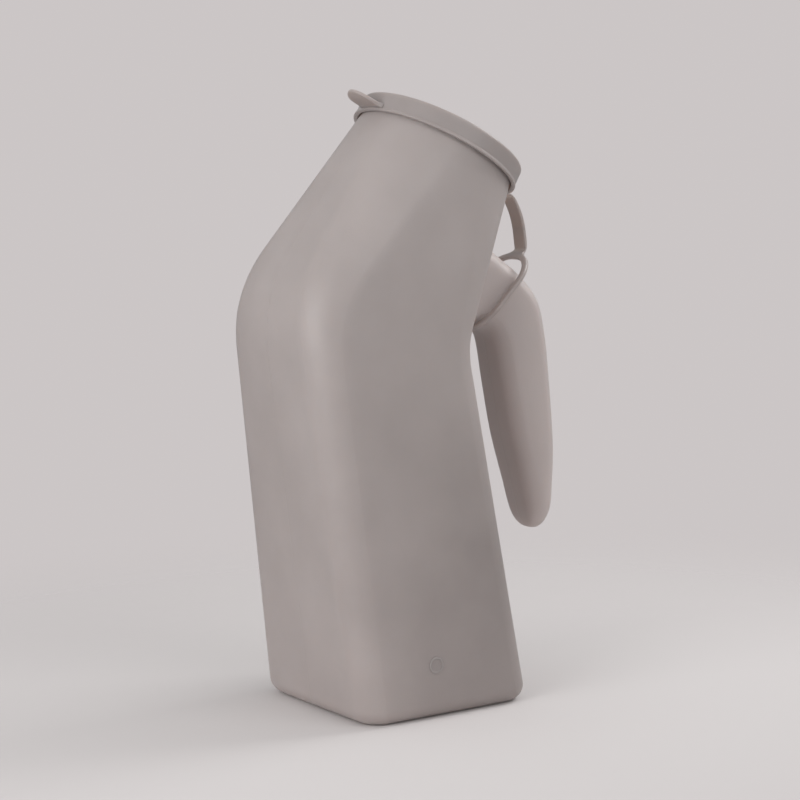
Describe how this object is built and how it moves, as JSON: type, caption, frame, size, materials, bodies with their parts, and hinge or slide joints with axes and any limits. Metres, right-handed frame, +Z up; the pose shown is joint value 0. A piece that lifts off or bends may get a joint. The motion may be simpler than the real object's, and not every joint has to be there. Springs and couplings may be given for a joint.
{
  "type": "urine bottle",
  "caption": "Translucent plastic urine bottle for bedside use, with a slanted wide mouth, a hollow hook handle and a push-on cover tethered to the handle by a strap and ring.",
  "frame": {"origin": "centre of the foot's underside, on the surface the bottle stands on", "axes": "+Z up along the standing bottle, +X to the side of the handle, strap and ring, Y across; the plane Y = 0 is the mirror plane of everything except the raised marks"},
  "size_m": [0.1346, 0.0868, 0.2517],
  "materials": {
    "bottle_plastic": "milky translucent polyethylene, satin from the blow mould",
    "cover_plastic": "milky soft polyethylene, smooth satin"
  },
  "bodies": {
    "bottle": {"bottle_body": "bottle_plastic", "bottle_rim": "bottle_plastic", "bottle_handle": "bottle_plastic", "graduation_marks": "bottle_plastic", "side_mark": "bottle_plastic"},
    "ring": {"tether_ring": "cover_plastic"},
    "strap": {"tether_strap": "cover_plastic"},
    "cover": {"cover_cap": "cover_plastic", "cover_thumb_tab": "cover_plastic", "cover_strap_root": "cover_plastic"}
  },
  "joints": [
    {"name": "ring_rock", "type": "hinge", "parent": "bottle", "child": "ring", "pos_m": [0.03497, 0, 0.15093], "axis": [0, 1, 0], "range_deg": [0, 4.42]},
    {"name": "strap_lean", "type": "hinge", "parent": "ring", "child": "strap", "pos_m": [0.0676, 0, 0.183], "axis": [0, 1, 0], "range_deg": [0, 36.4]},
    {"name": "cover_swing", "type": "hinge", "parent": "strap", "child": "cover", "pos_m": [0.0614, 0, 0.206], "axis": [0, 1, 0], "range_deg": [0, 130]}
  ],
  "couplings": [
    {"joint": "strap_lean", "follows": "cover_swing", "ratio": 0.28},
    {"joint": "ring_rock", "follows": "cover_swing", "ratio": 0.034}
  ]
}
